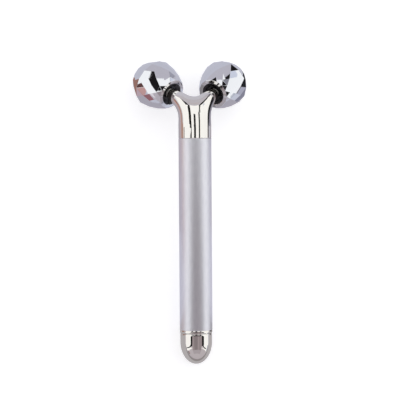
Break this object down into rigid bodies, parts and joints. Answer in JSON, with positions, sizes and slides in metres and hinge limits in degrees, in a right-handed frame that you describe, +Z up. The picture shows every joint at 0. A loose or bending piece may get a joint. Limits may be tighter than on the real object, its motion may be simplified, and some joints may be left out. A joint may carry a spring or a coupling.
{
  "type": "facial toning device",
  "caption": "Slim round battery handle with a screw-off rounded end cap and a Y-shaped head whose arms carry faceted ball rollers that spin freely, for massaging and toning the face.",
  "frame": {"origin": "centre of the bounding box's bottom face: on the table, under the middle of the lying device", "axes": "the device lies on its back, on both rollers and the end cap's nose: +Y runs along the handle towards the roller head, +Z is up, out of the handle's front face, and +X is the device's right when its head is up and its front faces the viewer"},
  "size_m": [0.0601, 0.1586, 0.0344],
  "materials": {
    "satin_aluminium": "satin anodised",
    "polished_chrome": "mirror polished",
    "black_hub": "glossy black",
    "steel": "plain turned",
    "brass": "plain",
    "plug_aluminium": "turned",
    "copper": "enamelled copper",
    "magnet": "dark ferrite",
    "seal_rubber": "matt",
    "dark_plastic": "matt",
    "pale_plastic": "matt",
    "card_liner": "card",
    "cell_jacket": "printed jacket, plain",
    "red_insulation": "wire insulation",
    "black_insulation": "wire insulation"
  },
  "bodies": {
    "handle": {"handle_tube": "satin_aluminium", "trim_ring": "polished_chrome", "fork_head": "polished_chrome", "neck_seal": "seal_rubber", "motor_cradle": "dark_plastic", "motor_can": "steel", "motor_magnets": "magnet", "motor_bush": "brass", "motor_end_bell": "pale_plastic", "motor_terminals": "brass", "motor_brushes": "brass", "contact_carrier": "dark_plastic", "positive_contact": "brass", "ground_clip": "brass", "positive_lead": "red_insulation", "negative_lead": "black_insulation", "battery_liner": "card_liner", "battery_cell": "cell_jacket", "battery_gasket": "dark_plastic", "battery_button": "steel", "right_axle": "steel", "right_thrust_washer": "steel", "right_end_washer": "steel", "right_screw": "steel", "left_axle": "steel", "left_thrust_washer": "steel", "left_end_washer": "steel", "left_screw": "steel"},
    "right_roller": {"right_roller_front": "polished_chrome", "right_roller_back": "polished_chrome", "right_hub": "black_hub", "right_bush": "pale_plastic"},
    "left_roller": {"left_roller_front": "polished_chrome", "left_roller_back": "polished_chrome", "left_hub": "black_hub", "left_bush": "pale_plastic"},
    "rotor": {"motor_armature": "copper", "motor_commutator": "copper", "motor_shaft": "steel", "spinning_weight": "brass"},
    "spring": {"contact_spring": "steel"},
    "cap": {"end_cap": "polished_chrome", "threaded_plug": "plug_aluminium", "spring_seat": "steel", "cap_seal": "seal_rubber"}
  },
  "joints": [
    {"name": "right_roller_spin", "type": "hinge", "parent": "handle", "child": "right_roller", "pos_m": [0.0178, 0.06723, 0.0125], "axis": [-0.5633, -0.5316, 0.6326], "continuous": true},
    {"name": "left_roller_spin", "type": "hinge", "parent": "handle", "child": "left_roller", "pos_m": [-0.0178, 0.06723, 0.0125], "axis": [0.5633, -0.5316, 0.6326], "continuous": true},
    {"name": "motor_spin", "type": "hinge", "parent": "handle", "child": "rotor", "pos_m": [0, 0.03176, 0.02417], "axis": [0, 0.9876, 0.1569], "continuous": true},
    {"name": "cap_travel", "type": "slide", "parent": "handle", "child": "spring", "axis": [0, -0.9876, -0.1569], "range_m": [0, 0.004]},
    {"name": "cap_twist", "type": "hinge", "parent": "spring", "child": "cap", "pos_m": [0, -0.06325, 0.00908], "axis": [0, -0.9876, -0.1569], "range_deg": [0, 1440]}
  ],
  "couplings": [
    {"joint": "cap_travel", "follows": "cap_twist", "m_per_rad": 0.00015915}
  ]
}
